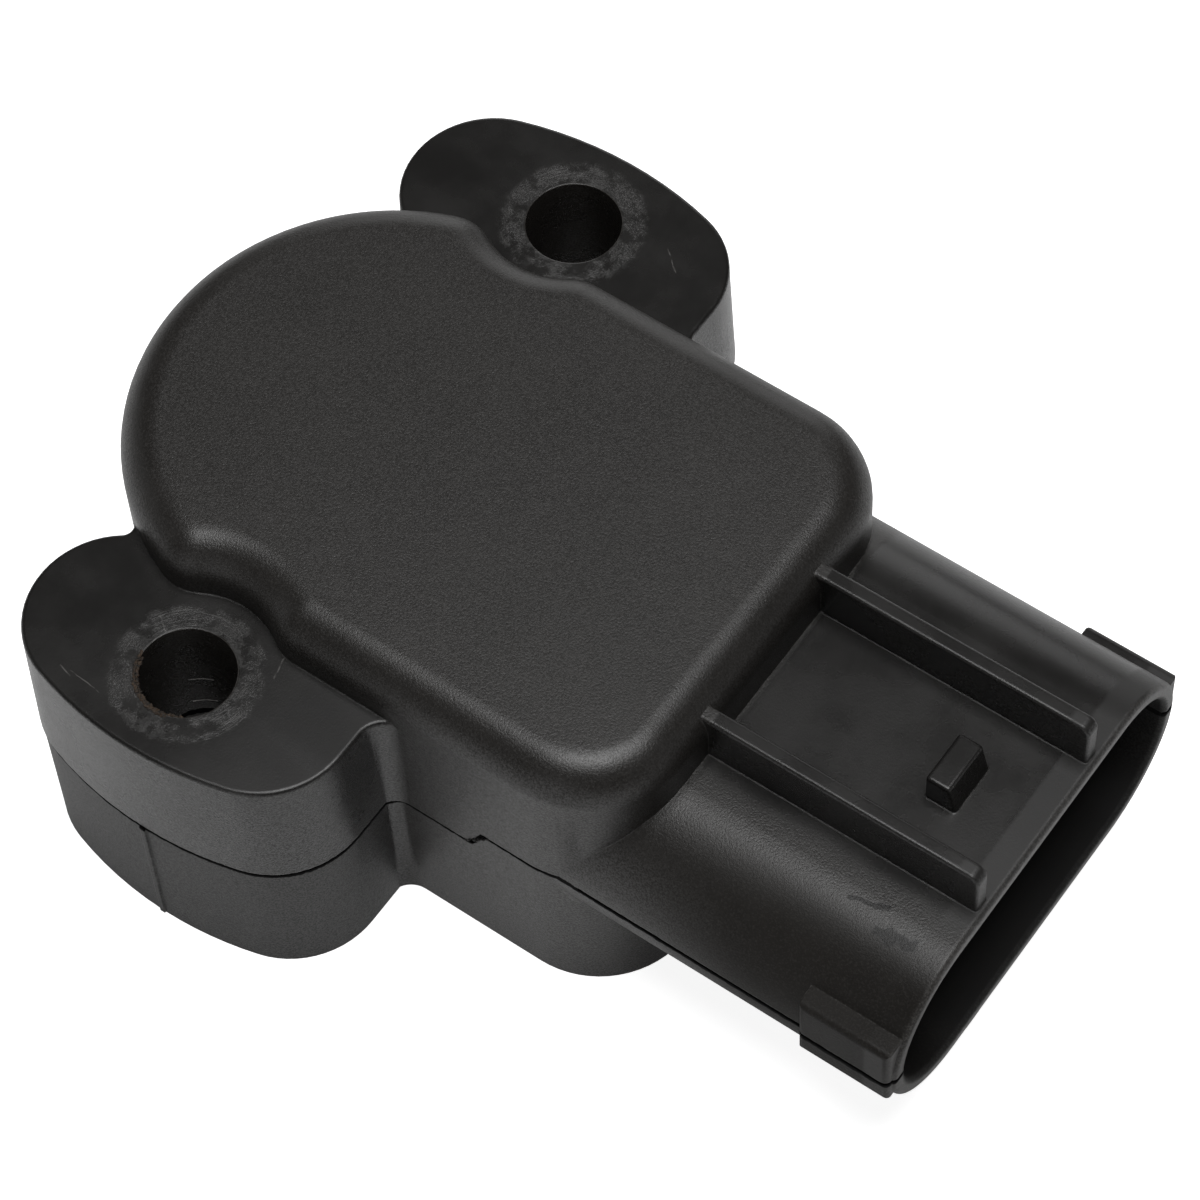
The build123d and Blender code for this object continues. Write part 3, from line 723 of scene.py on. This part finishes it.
def along_path(name, paths, tree, settings):
    """Runs a tree along paths and keeps its result as a plain mesh on the sensor."""
    piece = bpy.data.objects.new(name, path_mesh(name, paths))
    scene.collection.objects.link(piece)
    modifier = piece.modifiers.new(name, "NODES")
    modifier.node_group = tree
    for item in tree.interface.items_tree:
        if item.in_out == "INPUT" and item.name in settings:
            modifier[item.identifier] = settings[item.name]
    graph = bpy.context.evaluated_depsgraph_get()
    plain = bpy.data.meshes.new_from_object(piece.evaluated_get(graph))
    piece.modifiers.clear()
    piece.data = plain
    plain.shade_smooth()
    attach(piece, "sensor")
    print(name, "faces:", len(plain.polygons))
    return piece


def hole_arc(radius, start, end, height, steps=40):
    """Places on an arc round the near hole, with angles in degrees."""
    places = []
    for step in range(steps + 1):
        turn = math.radians(start + (end - start) * step / steps)
        places.append((radius * math.cos(turn), -HOLE_Y + radius * math.sin(turn), height))
    return places


def mottled(name, first, second, size, rough):
    """A dull finish whose colour changes from patch to patch."""
    shader = Shader(name)
    patch = shader.fade(shader.noise(size, 4.0, 0.6), 0.35, 0.65)
    shader.set(Base_Color=shader.mix(patch, first, second), Roughness=rough)
    shader.set(Normal=shader.bump(patch, 0.4, size / 8))
    return shader.material


RIDGE_START = 109.0
RIDGE_END = 139.0
RIDGE_HEIGHTS = (16.45 * MM, 13.6 * MM)
RESIDUE_START = 186.0
RESIDUE_END = 302.0
RESIDUE_LATE = 8.0
RESIDUE_SHORT = 20.0
RESIDUE_IN = 0.08 * MM
RESIDUE_OUT = 0.1 * MM
RESIDUE_SINK = 0.12 * MM
JOG_BURRS = [(18.6, -17.42, 12.3), (19.3, -17.42, 13.0), (20.6, -17.42, 14.35)]
MOUTH_BURRS = [(51.2, 17.45, 14.2), (52.2, 17.45, 14.4), (52.45, 17.1, 14.9)]

flakes = flake_tree()
ridges = ridge_tree()
brown = mottled("rim_residue", (0.046, 0.027, 0.014, 1.0), (0.010, 0.008, 0.006, 1.0), 0.3 * MM, 0.75)
# pale ridges: a painted glint on the flash in the bore
ridge_glint = mottled("ridge_painted_glint", grey(0.16, 0.05), grey(0.05, 0.05), 0.4 * MM, 0.45)
black = mottled("burr_plastic", grey(0.010, 0.05), grey(0.020, 0.05), 0.3 * MM, 0.5)

residue_paths = [
    hole_arc(HOLE_RADIUS - RESIDUE_IN, RESIDUE_START + RESIDUE_LATE, RESIDUE_END, EAR_TOP - RESIDUE_SINK),
    hole_arc(HOLE_RADIUS + RESIDUE_OUT, RESIDUE_START, RESIDUE_END - RESIDUE_SHORT, EAR_TOP),
]
residue = {"Count": 46, "Size": 0.27 * MM, "Seed": 4, "Material": brown}
along_path("rim_residue", residue_paths, flakes, residue)
ridge_paths = [hole_arc(HOLE_RADIUS, RIDGE_START, RIDGE_END, height) for height in RIDGE_HEIGHTS]
along_path("bore_ridges", ridge_paths, ridges, {"Thickness": 0.05 * MM, "Material": ridge_glint})
burr_paths = [[tuple(Vector(place) * MM) for place in path] for path in (JOG_BURRS, MOUTH_BURRS)]
burrs = {"Count": 9, "Size": 0.2 * MM, "Seed": 7, "Material": black}
along_path("parting_burrs", burr_paths, flakes, burrs)

# %% [markdown]
# ## Works inside and underneath
# From below, the cover, the rotor and its seal show, and the blades show in the mouth. Each gets the finish
# that such a piece has: moulded black, natural plastic, turned steel, drawn wire, tinned metal and a board
# with dark resistive tracks where the wipers run.

# %% Finishes
def moulded(name, dark, light, rough):
    """Moulded plastic: faint patches and a fine grain."""
    shader = Shader(name)
    patch = shader.fade(shader.noise(4.0 * MM, 3.0), 0.3, 0.7)
    grain = shader.noise(0.18 * MM, 2.0, 0.6)
    shader.set(Base_Color=shader.mix(patch, dark, light))
    shader.set(Roughness=shader.fade(grain, 0.3, 0.7, rough - 0.06, rough + 0.06))
    shader.set(Normal=shader.bump(grain, 0.35, 0.02 * MM))
    return shader.material


def turned(name, dark, light, rough):
    """Metal with fine rings round the rotor's axis."""
    shader = Shader(name)
    axes = shader.axes()
    ring = shader.add("ShaderNodeCombineXYZ", {"X": shader.length(axes["X"], axes["Y"]), "Z": axes["Z"]})
    lines = shader.noise(0.06 * MM, 3.0, 0.6, ring)
    shader.set(Base_Color=shader.mix(lines, dark, light), Metallic=1.0)
    shader.set(Roughness=shader.fade(lines, 0.3, 0.7, rough - 0.08, rough + 0.08))
    shader.set(Normal=shader.bump(lines, 0.2, 0.01 * MM))
    return shader.material


def drawn(name, dark, light, rough):
    """Metal drawn or rolled along X, with faint streaks and dull patches."""
    shader = Shader(name)
    axes = shader.axes()
    squeezed = shader.math("MULTIPLY", axes["X"], 0.04)
    stretched = shader.add("ShaderNodeCombineXYZ", {"X": squeezed, "Y": axes["Y"], "Z": axes["Z"]})
    streak = shader.noise(0.08 * MM, 3.0, 0.6, stretched)
    dull = shader.fade(shader.noise(1.5 * MM, 4.0, 0.6), 0.35, 0.7)
    shader.set(Base_Color=shader.mix(streak, dark, light), Metallic=1.0)
    shader.set(Roughness=shader.blend(dull, rough, rough + 0.15))
    shader.set(Normal=shader.bump(streak, 0.15, 0.01 * MM))
    return shader.material


TRACK_MIDDLES = (6.9 * MM, 9.8 * MM)
TRACK_HALF = 1.15 * MM
PAD_START = 24.3 * MM


def board_laminate():
    """Brown laminate with two dark tracks round the rotor and bright pads at the blades."""
    shader = Shader("board_laminate")
    axes = shader.axes()
    radius = shader.length(axes["X"], axes["Y"])
    rings = [near_value(shader, radius, middle, TRACK_HALF, 0.05 * MM) for middle in TRACK_MIDDLES]
    track = shader.math("MAXIMUM", *rings)
    pad = shader.fade(axes["X"], PAD_START, PAD_START + 0.1 * MM)
    weave = shader.noise(0.25 * MM, 3.0)
    laminate = shader.mix(weave, (0.13, 0.085, 0.035, 1.0), (0.19, 0.13, 0.06, 1.0))
    tracked = shader.mix(track, laminate, grey(0.012))
    shader.set(Base_Color=shader.mix(pad, tracked, (0.42, 0.36, 0.26, 1.0)))
    shader.set(Roughness=shader.blend(track, 0.55, 0.35))
    shader.set(Normal=shader.bump(weave, 0.15, 0.01 * MM))
    return shader.material


# %% Finishes on the inner nodes
rubber = mottled("seal_rubber", grey(0.012), grey(0.022), 0.5 * MM, 0.8)
contact = drawn("contact_metal", (0.48, 0.33, 0.15, 1.0), (0.66, 0.48, 0.24, 1.0), 0.3)
tinned = drawn("terminal_metal", (0.46, 0.44, 0.40, 1.0), (0.66, 0.64, 0.59, 1.0), 0.32)
FINISHES = {
    "rear_cover": moulded("cover_plastic", grey(0.014, 0.05), grey(0.020, 0.05), 0.42),
    "cover_seal": rubber,
    "shaft_seal": rubber,
    "thrust_washer": turned("washer_steel", grey(0.34), grey(0.5), 0.34),
    "rotor": moulded("rotor_plastic", (0.50, 0.46, 0.37, 1.0), (0.58, 0.54, 0.45, 1.0), 0.45),
    "return_spring": turned("spring_steel", grey(0.3), grey(0.46), 0.3),
    "element_board": board_laminate(),
    "wiper_primary": contact,
    "wiper_secondary": contact,
}
FINISHES.update({name: tinned for name in frame["nodes"] if name.startswith("terminal_")})
for name, material in FINISHES.items():
    node = frame["nodes"][name]
    node.data.materials.clear()
    node.data.materials.append(material)
print("finished nodes:", len(FINISHES))
